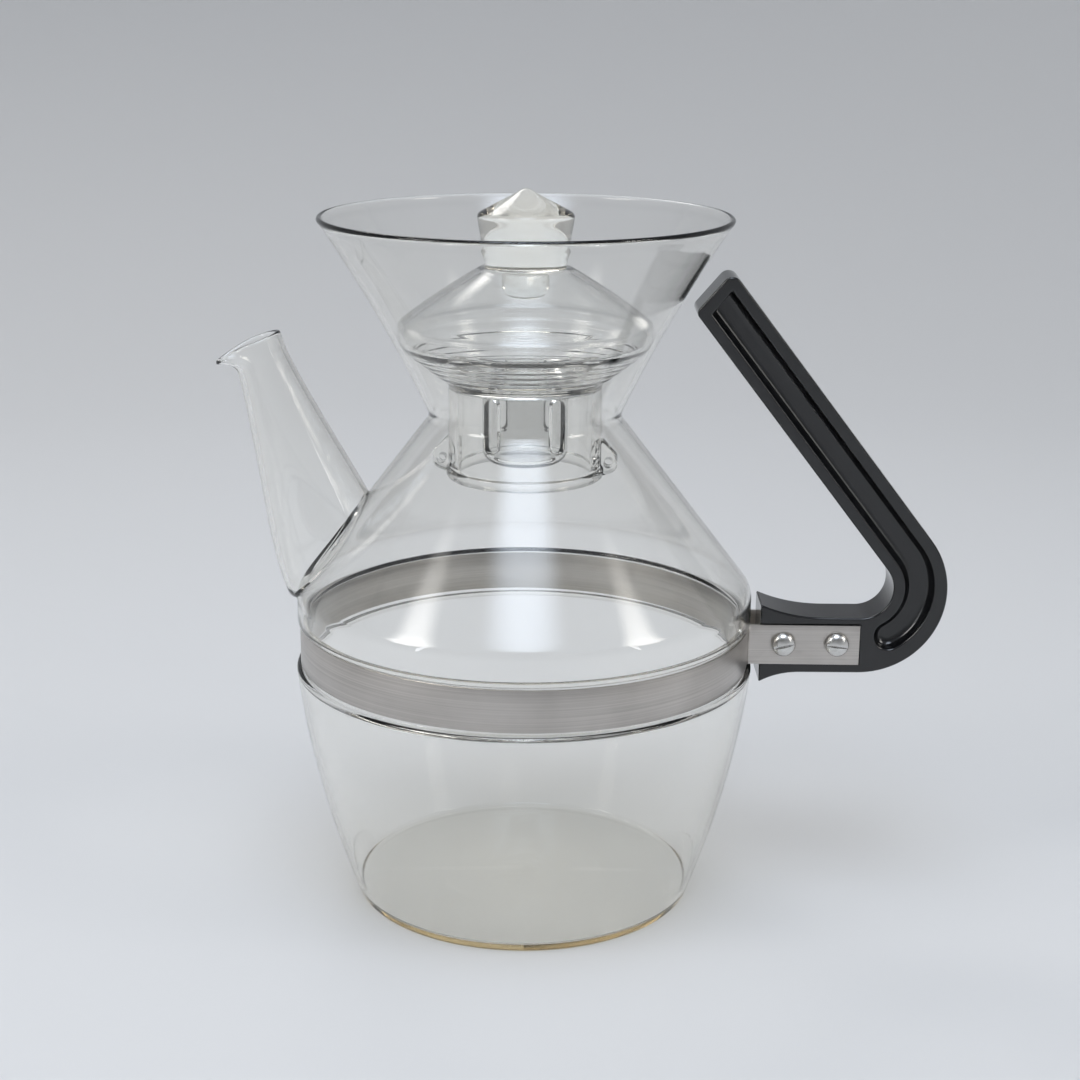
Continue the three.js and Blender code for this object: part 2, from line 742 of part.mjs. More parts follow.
// The lid comes to rest where its edge is one seat gap from the funnel's inner face
function lidRestHeight() {
  const edge = roundedPath(domeOuter());
  let low = neckHeight;
  let high = rimHeight;
  for (let i = 0; i < 40; i += 1) {
    const middle = (low + high) / 2;
    const lift = new THREE.Vector2(0, middle);
    const room = Math.min(...edge.map((point) => roomInFunnel(point.clone().add(lift))));
    if (room > seatGap) high = middle;
    else low = middle;
  }
  return high;
}

// The assembled object
const coffeePot = new THREE.Group();
const lid = new THREE.Group();
lid.position.z = lidRestHeight();
coffeePot.add(lid);

function addPiece(group, name, solid, material) {
  const mesh = new THREE.Mesh(geometryOf(solid), material);
  mesh.name = name;
  group.add(mesh);
}

addPiece(coffeePot, 'pot_body', makePotBody(), potGlass);
addPiece(coffeePot, 'spout', makeSpout(), potGlass);
addPiece(coffeePot, 'band', makeBand(), bandSteel);
addPiece(coffeePot, 'handle', makeHandle(), bakelite);
for (const [i, place] of ['inner', 'outer'].entries()) {
  addPiece(coffeePot, `${place}_screw`, makeScrew(screwPlaces[i]), screwSteel);
  addPiece(coffeePot, `${place}_nut`, makeNut(screwPlaces[i]), screwSteel);
}
addPiece(lid, 'lid_dome', makeDome(), lidGlass);
addPiece(lid, 'lid_knob', makeKnob(), lidGlass);
addPiece(lid, 'lid_plug', makePlug(), lidGlass);
addPiece(lid, 'lid_cup', makeCup(), lidGlass);

export default coffeePot;
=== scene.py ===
import math
import bpy
from mathutils import Matrix, Vector


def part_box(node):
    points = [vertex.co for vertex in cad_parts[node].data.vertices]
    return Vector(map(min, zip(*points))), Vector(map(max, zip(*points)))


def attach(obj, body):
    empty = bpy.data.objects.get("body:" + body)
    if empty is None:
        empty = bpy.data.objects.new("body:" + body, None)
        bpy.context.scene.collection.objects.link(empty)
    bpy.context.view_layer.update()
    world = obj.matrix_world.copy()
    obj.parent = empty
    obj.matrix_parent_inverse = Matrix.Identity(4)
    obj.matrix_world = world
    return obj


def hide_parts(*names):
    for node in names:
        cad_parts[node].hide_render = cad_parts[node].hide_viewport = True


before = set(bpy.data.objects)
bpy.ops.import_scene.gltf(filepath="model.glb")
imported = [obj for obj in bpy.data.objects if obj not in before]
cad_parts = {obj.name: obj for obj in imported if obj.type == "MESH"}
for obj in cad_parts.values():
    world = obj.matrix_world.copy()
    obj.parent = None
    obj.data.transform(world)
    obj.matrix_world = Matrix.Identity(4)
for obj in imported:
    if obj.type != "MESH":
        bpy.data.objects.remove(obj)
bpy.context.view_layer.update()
print("frame loaded:", len(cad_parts), "nodes")

mm = 0.001
fullTurn = 2 * math.pi


# Tools for selecting, cutting and shading

def deselectAll():
    if bpy.context.object and bpy.context.object.mode != "OBJECT":
        bpy.ops.object.mode_set(mode="OBJECT")
    bpy.ops.object.select_all(action="DESELECT")


def pick(thing):
    deselectAll()
    thing.select_set(True)
    bpy.context.view_layer.objects.active = thing


def openMesh(thing):
    pick(thing)
    bpy.ops.object.mode_set(mode="EDIT")
    bpy.ops.mesh.select_all(action="SELECT")


def closeMesh():
    bpy.ops.object.mode_set(mode="OBJECT")


def selectWhere(thing, test, kind="VERT"):
    # selects vertices or faces by a test; leaves edit mode open
    openMesh(thing)
    bpy.ops.mesh.select_mode(type=kind)
    bpy.ops.mesh.select_all(action="DESELECT")
    bpy.ops.object.mode_set(mode="OBJECT")
    parts = thing.data.vertices if kind == "VERT" else thing.data.polygons
    for part in parts:
        part.select = test(part)
    bpy.ops.object.mode_set(mode="EDIT")


def applyPlace(thing):
    pick(thing)
    bpy.ops.object.transform_apply(location=True, rotation=True, scale=True)


def modify(thing, kind, **settings):
    pick(thing)
    step = thing.modifiers.new(kind.lower(), kind)
    for key, value in settings.items():
        setattr(step, key, value)
    bpy.ops.object.modifier_apply(modifier=step.name)


def cut(thing, tool, operation="DIFFERENCE"):
    modify(thing, "BOOLEAN", operation=operation, object=tool, solver="MANIFOLD")
    bpy.data.objects.remove(tool)


def tidyMesh(thing, distance=0.002 * mm, inside=False):
    openMesh(thing)
    bpy.ops.mesh.remove_doubles(threshold=distance)
    bpy.ops.mesh.normals_make_consistent(inside=inside)
    closeMesh()


def softShade(thing, angle=40):
    pick(thing)
    bpy.ops.object.shade_smooth_by_angle(angle=math.radians(angle))


def moveEach(thing, change):
    # moves every vertex by a rule, as a sculptor would
    for vertex in thing.data.vertices:
        vertex.co = change(vertex.co.copy())
    thing.data.update()


# Outlines: corners are (x, z, fillet) in millimetres; large fillets get finer steps than small ones

outlineSteps = {"angle": 9, "fineShare": 0.55, "fineFrom": 3, "roomShare": 0.48, "leastFillet": 0.5}


def arcRun(x, z, radius, start, turn, stepAngle):
    steps = max(2, math.ceil(abs(math.degrees(turn)) / stepAngle))
    return [(x + radius * math.cos(start + turn * i / steps),
             z + radius * math.sin(start + turn * i / steps))
            for i in range(steps + 1)]


def roundedPath(corners, spacing=None):
    points = []
    for i, (x, z, fillet) in enumerate(corners):
        here = Vector((x, z))
        if fillet == 0 or i in (0, len(corners) - 1):
            points.append((x, z))
            continue
        back = Vector(corners[i - 1][:2]) - here
        ahead = Vector(corners[i + 1][:2]) - here
        room = min(back.length, ahead.length) * outlineSteps["roomShare"]
        back.normalize()
        ahead.normalize()
        half = back.angle(ahead) / 2
        setBack = min(fillet / math.tan(half), room)
        radius = setBack * math.tan(half)
        centre = here + (back + ahead).normalized() * (radius / math.sin(half))
        first = here + back * setBack - centre
        last = here + ahead * setBack - centre
        turn = math.atan2(first.x * last.y - first.y * last.x, first.dot(last))
        stepAngle = outlineSteps["angle"]
        if radius >= outlineSteps["fineFrom"]:
            stepAngle *= outlineSteps["fineShare"]
        points += arcRun(centre.x, centre.y, radius, math.atan2(first.y, first.x), turn, stepAngle)
    if not spacing:
        return points
    even = [points[0]]
    for point in points[1:]:
        last = even[-1]
        run = math.dist(last, point)
        parts = max(1, round(run / spacing))
        for j in range(1, parts + 1):
            even.append(tuple(last[k] + (point[k] - last[k]) * j / parts for k in (0, 1)))
    return even


def movedAside(corners, distance):
    # the same outline moved to its left, with fillets that stay concentric
    moved = []
    for i, (x, z, fillet) in enumerate(corners):
        here = Vector((x, z))
        arriving = here - Vector(corners[max(i - 1, 0)][:2])
        leaving = Vector(corners[min(i + 1, len(corners) - 1)][:2]) - here
        arriving = (arriving if i else leaving).normalized()
        leaving = (leaving if i < len(corners) - 1 else arriving).normalized()
        normal = Vector((-arriving.y - leaving.y, arriving.x + leaving.x)).normalized()
        stretch = distance / (normal.x * -arriving.y + normal.y * arriving.x)
        bulges = arriving.x * leaving.y - arriving.y * leaving.x > 0
        change = -distance if bulges else distance
        radius = max(fillet + change, outlineSteps["leastFillet"]) if fillet else 0
        moved.append((x + normal.x * stretch, z + normal.y * stretch, radius))
    return moved


def curveRun(start, middle, end, steps):
    run = []
    for i in range(steps + 1):
        t = i / steps
        weights = ((1 - t) ** 2, 2 * t * (1 - t), t * t)
        run.append(tuple(sum(w * p[k] for w, p in zip(weights, (start, middle, end))) for k in (0, 1)))
    return run


def drawOutline(name, points, flat=False):
    # one vertex is extruded along the points; a flat outline lies in X and Y, an upright one in X and Z
    up = 1 if flat else 2
    start = Vector((points[0][0] * mm, 0, 0))
    start[up] = points[0][1] * mm
    deselectAll()
    bpy.ops.mesh.primitive_plane_add(size=mm, location=start)
    thing = bpy.context.object
    thing.name = name
    bpy.ops.object.mode_set(mode="EDIT")
    bpy.ops.mesh.select_mode(type="VERT")
    bpy.ops.mesh.select_all(action="SELECT")
    bpy.ops.mesh.merge(type="CENTER")
    for (x0, z0), (x1, z1) in zip(points, points[1:]):
        step = Vector(((x1 - x0) * mm, 0, 0))
        step[up] = (z1 - z0) * mm
        bpy.ops.mesh.extrude_region_move(TRANSFORM_OT_translate={"value": step})
    closeMesh()
    applyPlace(thing)
    return thing


def spun(name, points, steps, inside=False):
    thing = drawOutline(name, points)
    openMesh(thing)
    bpy.ops.mesh.spin(steps=steps, angle=fullTurn, center=(0, 0, 0), axis=(0, 0, 1))
    closeMesh()
    tidyMesh(thing, inside=inside)
    return thing


def slab(name, points, thickness, flat=False):
    # a closed outline filled and given a thickness, half to each side of its plane
    thing = drawOutline(name, points + [points[0]], flat)
    across = Vector((0, 0, thickness * mm)) if flat else Vector((0, thickness * mm, 0))
    openMesh(thing)
    bpy.ops.mesh.remove_doubles(threshold=0.01 * mm)
    bpy.ops.mesh.select_all(action="SELECT")
    bpy.ops.mesh.edge_face_add()
    bpy.ops.mesh.extrude_region_move(TRANSFORM_OT_translate={"value": across})
    bpy.ops.mesh.select_all(action="SELECT")
    bpy.ops.transform.translate(value=-across / 2)
    bpy.ops.mesh.normals_make_consistent(inside=False)
    closeMesh()
    return thing


def barAlongY(radius, length, x, z, y=0, sides=40):
    deselectAll()
    bpy.ops.mesh.primitive_cylinder_add(
        vertices=sides, radius=radius * mm, depth=length * mm,
        location=(x * mm, y * mm, z * mm), rotation=(math.pi / 2, 0, 0))
    bar = bpy.context.object
    applyPlace(bar)
    return bar


# Materials

def newMaterial(name):
    material = bpy.data.materials.new(name)
    material.use_nodes = True
    nodes = material.node_tree.nodes
    return material, nodes, material.node_tree.links, nodes["Principled BSDF"]


def objectPattern(nodes, links, stretch=(1, 1, 1)):
    place = nodes.new("ShaderNodeTexCoord")
    mapping = nodes.new("ShaderNodeMapping")
    mapping.inputs["Scale"].default_value = stretch
    links.new(place.outputs["Object"], mapping.inputs["Vector"])
    return mapping


def noiseOn(nodes, links, mapping, scale, detail=3.0, roughness=0.5):
    noise = nodes.new("ShaderNodeTexNoise")
    noise.inputs["Scale"].default_value = scale
    noise.inputs["Detail"].default_value = detail
    noise.inputs["Roughness"].default_value = roughness
    links.new(mapping.outputs["Vector"], noise.inputs["Vector"])
    return noise


def rampBetween(nodes, links, source, stops):
    ramp = nodes.new("ShaderNodeValToRGB")
    elements = ramp.color_ramp.elements
    while len(elements) < len(stops):
        elements.new(0.5)
    for element, (position, colour) in zip(elements, stops):
        element.position = position
        element.color = (*colour, 1)
    links.new(source, ramp.inputs["Fac"])
    return ramp


def rangeOf(nodes, links, source, low, high):
    reach = nodes.new("ShaderNodeMapRange")
    reach.inputs["To Min"].default_value = low
    reach.inputs["To Max"].default_value = high
    links.new(source, reach.inputs["Value"])
    return reach


def bumpFrom(nodes, links, source, strength, depth):
    bump = nodes.new("ShaderNodeBump")
    bump.inputs["Strength"].default_value = strength
    bump.inputs["Distance"].default_value = depth
    links.new(source, bump.inputs["Height"])
    return bump


glassLook = {
    "colour": (0.995, 0.998, 0.997),
    "index": 1.474,
    "edgeTint": (0.93, 0.84, 0.62),
    "smudgeGrain": (38, 5, 0.62),
    "smudgeMask": [(0.52, (0, 0, 0)), (0.74, (1, 1, 1))],
    "smudgeRoughness": (0.0, 0.035),
    "waveGrain": (1.5, 0.4), "waveDepth": 0.35 * mm,
    "facingBlend": 0.35,
    "shade": [(0.1, (0.985, 0.987, 0.987)), (0.75, (0.82, 0.82, 0.81)), (1.0, (0.30, 0.29, 0.27))],
}
potGlassLook = {"waveScale": 26, "waveStrength": 0.10, "edgeDensity": 36}
lidGlassLook = {"waveScale": 60, "waveStrength": 0.16, "edgeDensity": 14}


def lampLightThrough(nodes, links, shader):
    # lamps shine through the glass, less so where it is seen edge on, so that its shadow stays light
    facing = nodes.new("ShaderNodeLayerWeight")
    facing.inputs["Blend"].default_value = glassLook["facingBlend"]
    shade = rampBetween(nodes, links, facing.outputs["Facing"], glassLook["shade"])
    through = nodes.new("ShaderNodeBsdfTransparent")
    links.new(shade.outputs["Color"], through.inputs["Color"])
    path = nodes.new("ShaderNodeLightPath")
    either = nodes.new("ShaderNodeMath")
    either.operation = "MAXIMUM"
    links.new(path.outputs["Is Shadow Ray"], either.inputs[0])
    links.new(path.outputs["Is Diffuse Ray"], either.inputs[1])
    mix = nodes.new("ShaderNodeMixShader")
    links.new(either.outputs["Value"], mix.inputs["Fac"])
    links.new(shader.outputs["BSDF"], mix.inputs[1])
    links.new(through.outputs["BSDF"], mix.inputs[2])
    links.new(mix.outputs["Shader"], nodes["Material Output"].inputs["Surface"])


def clearGlass(name, look):
    material, nodes, links, shader = newMaterial(name)
    shader.inputs["Base Color"].default_value = (*glassLook["colour"], 1)
    shader.inputs["Transmission Weight"].default_value = 1.0
    shader.inputs["IOR"].default_value = glassLook["index"]
    pattern = objectPattern(nodes, links)
    smudges = noiseOn(nodes, links, pattern, *glassLook["smudgeGrain"])
    mask = rampBetween(nodes, links, smudges.outputs["Fac"], glassLook["smudgeMask"])
    sheen = rangeOf(nodes, links, mask.outputs["Color"], *glassLook["smudgeRoughness"])
    links.new(sheen.outputs["Result"], shader.inputs["Roughness"])
    waves = noiseOn(nodes, links, pattern, look["waveScale"], *glassLook["waveGrain"])
    bump = bumpFrom(nodes, links, waves.outputs["Fac"], look["waveStrength"], glassLook["waveDepth"])
    links.new(bump.outputs["Normal"], shader.inputs["Normal"])
    depth = nodes.new("ShaderNodeVolumeAbsorption")
    depth.inputs["Color"].default_value = (*glassLook["edgeTint"], 1)
    depth.inputs["Density"].default_value = look["edgeDensity"]
    links.new(depth.outputs["Volume"], nodes["Material Output"].inputs["Volume"])
    lampLightThrough(nodes, links, shader)
    return material


steelLook = {
    "light": (0.565, 0.535, 0.505),
    "dark": (0.42, 0.395, 0.37),
    "toneReach": (0.35, 0.65),
    "roughness": (0.24, 0.40),
    "lineStretch": (12, 12, 2600), "lineGrain": (1.0, 2, 0.6),
    "cloudGrain": (45, 3, 0.5), "cloudShare": 0.45,
    "lineStrength": 0.10, "lineDepth": 0.02 * mm,
}


def satinSteel(name):
    # fine rolling lines run along the strip, with soft clouds over them
    material, nodes, links, shader = newMaterial(name)
    shader.inputs["Metallic"].default_value = 1.0
    rolled = objectPattern(nodes, links, steelLook["lineStretch"])
    lines = noiseOn(nodes, links, rolled, *steelLook["lineGrain"])
    clouds = noiseOn(nodes, links, objectPattern(nodes, links), *steelLook["cloudGrain"])
    blend = nodes.new("ShaderNodeMix")
    blend.inputs["Factor"].default_value = steelLook["cloudShare"]
    links.new(lines.outputs["Fac"], blend.inputs["A"])
    links.new(clouds.outputs["Fac"], blend.inputs["B"])
    stops = list(zip(steelLook["toneReach"], (steelLook["dark"], steelLook["light"])))
    tone = rampBetween(nodes, links, blend.outputs["Result"], stops)
    links.new(tone.outputs["Color"], shader.inputs["Base Color"])
    sheen = rangeOf(nodes, links, blend.outputs["Result"], *steelLook["roughness"])
    links.new(sheen.outputs["Result"], shader.inputs["Roughness"])
    bump = bumpFrom(nodes, links, lines.outputs["Fac"], steelLook["lineStrength"], steelLook["lineDepth"])
    links.new(bump.outputs["Normal"], shader.inputs["Normal"])
    return material


screwLook = {
    "wearGrain": (420, 4, 0.6),
    "tone": [(0.3, (0.55, 0.54, 0.52)), (0.7, (0.74, 0.735, 0.72))],
    "roughness": (0.12, 0.32),
    "wearStrength": 0.12, "wearDepth": 0.05 * mm,
}


def brightSteel(name):
    material, nodes, links, shader = newMaterial(name)
    shader.inputs["Metallic"].default_value = 1.0
    pattern = objectPattern(nodes, links)
    wear = noiseOn(nodes, links, pattern, *screwLook["wearGrain"])
    tone = rampBetween(nodes, links, wear.outputs["Fac"], screwLook["tone"])
    links.new(tone.outputs["Color"], shader.inputs["Base Color"])
    sheen = rangeOf(nodes, links, wear.outputs["Fac"], *screwLook["roughness"])
    links.new(sheen.outputs["Result"], shader.inputs["Roughness"])
    bump = bumpFrom(nodes, links, wear.outputs["Fac"], screwLook["wearStrength"], screwLook["wearDepth"])
    links.new(bump.outputs["Normal"], shader.inputs["Normal"])
    return material


bakeliteLook = {
    "index": 1.58,
    "dustGrain": (260, 6, 0.68),
    "tone": [(0.45, (0.004, 0.004, 0.0045)), (0.8, (0.014, 0.014, 0.0148))],
    "roughness": (0.05, 0.15),
    "peelGrain": (620, 1, 0.4), "peelBump": (0.05, 0.05 * mm),
}


def blackBakelite(name):
    # moulded skin: deep gloss, faint orange peel, fine dust that dulls it here and there
    material, nodes, links, shader = newMaterial(name)
    shader.inputs["IOR"].default_value = bakeliteLook["index"]
    pattern = objectPattern(nodes, links)
    dust = noiseOn(nodes, links, pattern, *bakeliteLook["dustGrain"])
    tone = rampBetween(nodes, links, dust.outputs["Fac"], bakeliteLook["tone"])
    links.new(tone.outputs["Color"], shader.inputs["Base Color"])
    sheen = rangeOf(nodes, links, dust.outputs["Fac"], *bakeliteLook["roughness"])
    links.new(sheen.outputs["Result"], shader.inputs["Roughness"])
    peel = noiseOn(nodes, links, pattern, *bakeliteLook["peelGrain"])
    bump = bumpFrom(nodes, links, peel.outputs["Fac"], *bakeliteLook["peelBump"])
    links.new(bump.outputs["Normal"], shader.inputs["Normal"])
    return material


potGlassFinish = clearGlass("pot_glass", potGlassLook)
lidGlassFinish = clearGlass("lid_glass", lidGlassLook)
bandFinish = satinSteel("band_steel")
screwFinish = brightSteel("screw_steel")
handleFinish = blackBakelite("bakelite")
print("materials ready")


def finishPiece(piece, name, material, slotName, body, *nodes):
    piece.name = name
    piece.data.name = name
    piece.data.materials.clear()
    piece.data.materials.append(material)
    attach(piece, body)
    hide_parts(*nodes)
    print("piece done:", name, len(piece.data.polygons), "faces")


# Pot: one blown wall with the spout fused to it

pot = {
    "wall": 1.5,
    "baseRadius": 55.5, "baseThickness": 2.6, "baseRise": 1.6, "heelFillet": 2,
    "heelInside": 5, "heelSpread": 0.4, "floorFillet": 20,
    "bellyRadius": 74.6, "bellySlope": 0.12,
    "ledge": 79.1, "ledgeFillet": 1.1, "ledgeRoom": 1.5, "grooveDepth": 2.7, "grooveTop": 94.3,
    "grooveFillet": 0.5, "strapRoom": 0.05,
    "beltRadius": 73.9, "beltHeight": 9.9, "shoulderFillet": 7,
    "coneAngle": 37.6, "neckRadius": 30.3, "neckFillet": 6,
    "funnelAngle": 24.5, "funnelRadius": 64.75, "rimBead": 0.15, "rimCrown": 0.65, "rimStep": 20,
    "curveSteps": 16, "rowSpacing": 2.2, "facets": 160,
}
pot["rim"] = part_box("pot_body")[1].z / mm - pot["rimCrown"]
pot["groove"] = pot["bellyRadius"] + pot["strapRoom"] - pot["grooveDepth"]
pot["shoulder"] = pot["grooveTop"] + pot["beltHeight"]
coneSlope = math.tan(math.radians(pot["coneAngle"]))
pot["neck"] = pot["shoulder"] + (pot["beltRadius"] - pot["neckRadius"]) / coneSlope


def potCorners():
    half = (pot["ledge"] - pot["ledgeRoom"] * pot["ledgeFillet"]) / 2
    belly = curveRun((pot["baseRadius"], 0), (pot["bellyRadius"] - half * pot["bellySlope"], half),
                     (pot["bellyRadius"], 2 * half), pot["curveSteps"])
    rise = (pot["rim"] - pot["neck"]) / 2
    throat = pot["neckRadius"] + rise * math.tan(math.radians(pot["funnelAngle"]))
    funnel = curveRun((pot["neckRadius"], pot["neck"]), (throat, pot["neck"] + rise),
                      (pot["funnelRadius"], pot["rim"]), pot["curveSteps"])
    return [(pot["baseRadius"], 0, pot["heelFillet"])] + [(x, z, 0) for x, z in belly[1:-1]] + [
        (pot["bellyRadius"], pot["ledge"], pot["ledgeFillet"]),
        (pot["groove"], pot["ledge"], pot["grooveFillet"]),
        (pot["groove"], pot["grooveTop"], pot["grooveFillet"]),
        (pot["beltRadius"], pot["grooveTop"], pot["ledgeFillet"]),
        (pot["beltRadius"], pot["shoulder"], pot["shoulderFillet"]),
        (pot["neckRadius"], pot["neck"], pot["neckFillet"]),
    ] + [(x, z, 0) for x, z in funnel[1:]]


def potWall():
    outer = potCorners()
    inner = movedAside(outer, pot["wall"])
    outside = roundedPath([(0, 0, 0)] + outer, spacing=pot["rowSpacing"])
    floor = pot["baseThickness"]
    inside = roundedPath(inner[:0:-1] + [
        (pot["baseRadius"] - pot["wall"] + pot["heelSpread"] * floor, floor, pot["heelInside"]),
        (pot["baseRadius"] / 2, floor + pot["baseRise"] / 2, pot["floorFillet"]),
        (0, floor + pot["baseRise"], 0)], spacing=pot["rowSpacing"])
    bead = (Vector(outside[-1]) + Vector(inside[0])) / 2
    along = math.atan2(outside[-1][1] - inside[0][1], outside[-1][0] - inside[0][0])
    radius = pot["wall"] / 2 + pot["rimBead"]
    rim = arcRun(bead.x, bead.y, radius, along, math.pi, pot["rimStep"])
    return spun("potWall", outside[:-1] + rim + inside[1:], pot["facets"])


def potCore(depth):
    # the pot as one filled body, with its skin moved in by a depth
    outline = roundedPath(movedAside(potCorners(), depth), spacing=pot["rowSpacing"])
    return spun("potCore", [(0, outline[0][1])] + outline + [(0, outline[-1][1])], pot["facets"])


spout = {
    "height": 119.4, "lean": 19.1, "outward": 1, "length": 68, "wall": 1.5,
    "rootRadius": 18.9, "mouthRadius": 8.5, "rootDrop": 14.5, "heelFillet": 10,
    "straightShare": 0.1, "taperShare": 0.55, "taperFullness": 0.25,
    "openingRadius": 12, "openingDepth": 14, "openingFlare": 0.6, "openingRound": 3,
    "mouthTilt": 1.5, "tiltFrom": 40,
    "lipReach": 5.6, "lipLength": 7, "lipDrop": 2.2, "lipSlope": 0.1, "lipSharpness": 3,
    "sideSteps": 60, "lipSteps": 12, "rimStep": 24, "facets": 96, "rowSpacing": 1.1,
}
coneRadius = pot["beltRadius"] - (spout["height"] - pot["shoulder"]) * coneSlope
spoutRoot = Vector((-(coneRadius + spout["outward"]), 0, spout["height"]))
spoutPlace = Matrix.Translation(spoutRoot * mm) @ Matrix.Rotation(-math.radians(spout["lean"]), 4, "Y")


def spoutSide(inset):
    lipStart = spout["length"] - spout["lipLength"]
    shrink = spout["rootRadius"] - spout["mouthRadius"]
    a = (spout["rootRadius"], -spout["rootDrop"] / 2)
    b = (spout["rootRadius"], spout["length"] * spout["straightShare"])
    c = (spout["mouthRadius"] + spout["taperFullness"] * shrink, spout["length"] * spout["taperShare"])
    d = (spout["mouthRadius"], lipStart)
    steps = spout["sideSteps"]
    side = []
    for i in range(steps + 1):
        t = i / steps
        weights = ((1 - t) ** 3, 3 * t * (1 - t) ** 2, 3 * t * t * (1 - t), t ** 3)
        side.append(tuple(sum(w * p[k] for w, p in zip(weights, (a, b, c, d))) for k in (0, 1)))
    rings = spout["lipSteps"]
    side += [(spout["mouthRadius"], lipStart + spout["lipLength"] * i / rings) for i in range(1, rings + 1)]
    return [(x - inset, z) for x, z in side]


def spoutHeel(inset):
    floor = -spout["rootDrop"] + inset
    radius = spout["rootRadius"] - inset
    corners = [(0, floor, 0), (radius, floor, spout["heelFillet"] - inset / 2),
               (radius, -spout["rootDrop"] / 2, 0)]
    return roundedPath(corners, spacing=spout["rowSpacing"])[:-1]


def drawnLip(co):
    # the mouth is tilted, and its front edge drawn out and down
    x, z = co.x / mm, co.z / mm
    radius = math.hypot(co.x, co.y) / mm
    reach = min(max((z - spout["tiltFrom"]) / (spout["length"] - spout["tiltFrom"]), 0), 1)
    z += x * math.tan(math.radians(spout["mouthTilt"])) * reach ** 2
    if radius > 0:
        rise = min(max(1 - (spout["length"] + spout["lipSlope"] * x - z) / spout["lipLength"], 0), 1)
        facing = max(0, -co.x / mm / radius)
        drawn = rise ** 2 * facing ** spout["lipSharpness"]
        x -= spout["lipReach"] * drawn
        z -= spout["lipDrop"] * drawn
    return Vector((x * mm, co.y, z * mm))


def spoutShape(name, outline):
    shape = spun(name, outline, spout["facets"])
    moveEach(shape, drawnLip)
    shape.data.transform(spoutPlace)
    return shape


def spoutWall():
    outer = spoutHeel(0) + spoutSide(0)
    inner = spoutHeel(spout["wall"]) + spoutSide(spout["wall"])
    top = outer[-1][1]
    rim = arcRun(outer[-1][0] - spout["wall"] / 2, top, spout["wall"] / 2, 0, math.pi, spout["rimStep"])
    return spoutShape("spoutWall", outer[:-1] + rim + inner[-2::-1])


def potGlass():
    wall = potWall()
    deep, radius = spout["openingDepth"], spout["openingRadius"]
    flared = radius + spout["openingFlare"]
    opening = roundedPath([(0, -deep, 0), (flared, -deep, 0), (radius, 0, spout["openingRound"]),
                           (flared, deep, 0), (0, deep, 0)])
    hole = spun("hole", opening, spout["facets"])
    hole.data.transform(spoutPlace)
    cut(wall, hole)
    print("opening cut")
    tube = spoutWall()
    cut(tube, potCore(pot["wall"] / 2))
    cut(wall, tube, "UNION")
    print("spout fused")
    tidyMesh(wall, 0.01 * mm)
    softShade(wall, 35)
    return wall


finishPiece(potGlass(), "potGlass", potGlassFinish, "pot_glass", "pot", "pot_body", "spout")


# Lid: dome, knob, plug and cup blown and fused as one

lid = {
    "seat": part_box("lid_dome")[0].z / mm,
    "edgeRadius": 40.6, "edgeHeight": 6, "edgeFillet": 4, "underAngle": 38, "topBulge": 2.1,
    "topSteps": 14,
    "domeWall": 2.2, "collarRadius": 25, "collarRise": 0.5, "collarSpread": 1.2, "collarFillet": 1.5,
    "knobFoot": 12.8, "knobRadius": 15.4, "knobCrown": 6.8, "knobFillet": 1.8,
    "knobSink": 0.2, "knobFootFillet": 0.8, "knobClear": 1.5,
    "nippleRadius": 1.6, "nippleHeight": 1.2, "nippleFoot": 0.4, "nippleFillet": 1, "nippleFootFillet": 2,
    "stemRadius": 7.4, "stemGap": 0.3, "stemRound": 0.9, "stemFillet": 2.5, "stemRise": 0.8, "stemClear": 3,
    "tailLength": 14,
    "plugRadius": 24.5, "plugWall": 3, "plugBead": 0.8,
    "beadRise": 3, "beadFade": 4, "beadFadeFillet": 3, "beadFillet": 1.5,
    "bottomFillet": 1.4, "bottomInside": 1.3, "plugTop": 1.5, "plugTopFillet": 1.5, "insideFillet": 2.5,
    "lugThickness": 5.5, "lugRound": 2, "lugHole": 1.5, "lugHolePlace": 0.45, "lugMiddle": 5.2,
    "lugTop": 12.6, "lugBottom": 1.2, "lugTip": (2.8, 7.6), "lugFillet": 2.6,
    "lugFoot": 1, "lugFootFillet": 1, "lugSunk": 0.5,
    "lugTurn": 6, "lugAngles": (-6, 174),
    "ringPlaces": (0.3, 0.48, 0.66, 0.84), "ringHeight": 0.35, "ringHalf": 0.9, "ringFillet": 0.9,
    "slotWidth": 4.4, "slotLength": 18, "slotTop": 1.6, "slotGap": 0.3, "slotReach": 2.4,
    "slotAngles": (-25, 25, 155, 205), "slotSides": 32,
    "cupRadius": 13.6, "cupWall": 1.8, "cupFillet": 4.5, "cupJoin": 2,
    "facets": 160, "rowSpacing": 1.6,
}
lid["plugBottom"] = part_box("lid_plug")[0].z / mm
lid["cupBottom"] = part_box("lid_cup")[0].z / mm
lid["crown"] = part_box("lid_dome")[1].z / mm
lid["tip"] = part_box("lid_knob")[1].z / mm
underSlope = math.tan(math.radians(lid["underAngle"]))
lid["edgeLow"] = lid["seat"] + (lid["edgeRadius"] - lid["collarRadius"]) * underSlope


def domeTop():
    # outer face of the dome from the knob down to its edge
    holeRadius = lid["stemRadius"] + lid["stemGap"]
    edgeTop = lid["edgeLow"] + lid["edgeHeight"]
    middle = ((lid["edgeRadius"] + holeRadius) / 2, (edgeTop + lid["crown"]) / 2 + lid["topBulge"])
    return curveRun((holeRadius, lid["crown"]), middle, (lid["edgeRadius"], edgeTop), lid["topSteps"])


